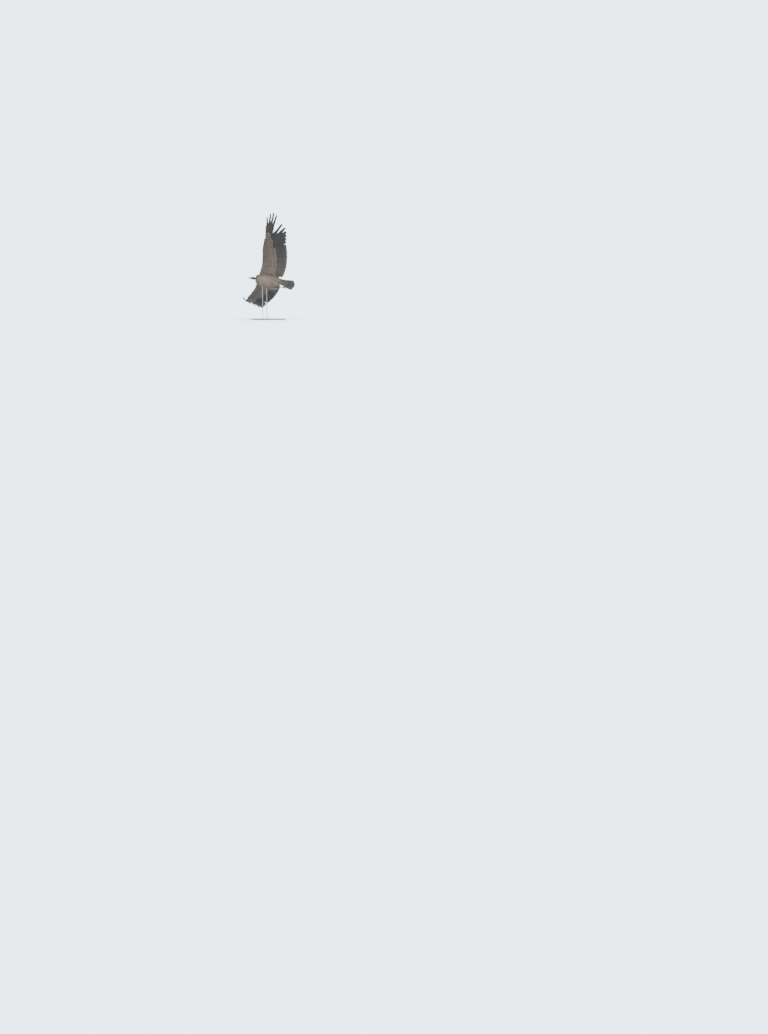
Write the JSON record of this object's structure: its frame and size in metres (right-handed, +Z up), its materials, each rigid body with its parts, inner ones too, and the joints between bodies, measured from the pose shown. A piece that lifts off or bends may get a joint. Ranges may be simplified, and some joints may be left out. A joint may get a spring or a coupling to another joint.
{
  "type": "andean condor",
  "caption": "Life-size young Andean condor in brown plumage, soaring in a steep bank with fingered wing tips, on a flat stand with rods.",
  "frame": {"origin": "the middle of the stand's underside, on the floor", "axes": "+Z up, the bird heads along -Y, its raised left wing lies towards +X and its lowered right wing towards -X"},
  "size_m": [1.8588, 0.9471, 2.0774],
  "materials": {
    "body_feather": "soft warm brown feathers with pale worn edges",
    "flight_feather": "dark brown vanes with a low sheen",
    "ruff_down": "dull brown down",
    "bare_skin": "dark wrinkled skin with thin bristly down",
    "bill": "smooth dark horn",
    "eye": "wet dark brown",
    "leg_scale": "grey scaly skin",
    "claw": "blunt dark horn",
    "stand_base": "dark stained, satin",
    "stand_rod": "brushed"
  },
  "bodies": {
    "root": {"bill_lower": "bill", "bill_upper": "bill", "claw_left_hind": "claw", "claw_left_inner": "claw", "claw_left_middle": "claw", "claw_left_outer": "claw", "claw_right_hind": "claw", "claw_right_inner": "claw", "claw_right_middle": "claw", "claw_right_outer": "claw", "eye_left": "eye", "eye_right": "eye", "foot_left": "leg_scale", "foot_right": "leg_scale", "head": "bare_skin", "leg_left_shank": "leg_scale", "leg_left_thigh": "body_feather", "leg_right_shank": "leg_scale", "leg_right_thigh": "body_feather", "neck": "bare_skin", "ruff": "ruff_down", "stand_base": "stand_base", "stand_rod_front": "stand_rod", "stand_rod_rear": "stand_rod", "tail": "flight_feather", "torso": "body_feather", "wing_left_forearm": "body_feather", "wing_left_hand": "flight_feather", "wing_left_upper_arm": "body_feather", "wing_right_forearm": "body_feather", "wing_right_hand": "flight_feather", "wing_right_upper_arm": "body_feather"}
  },
  "joints": []
}
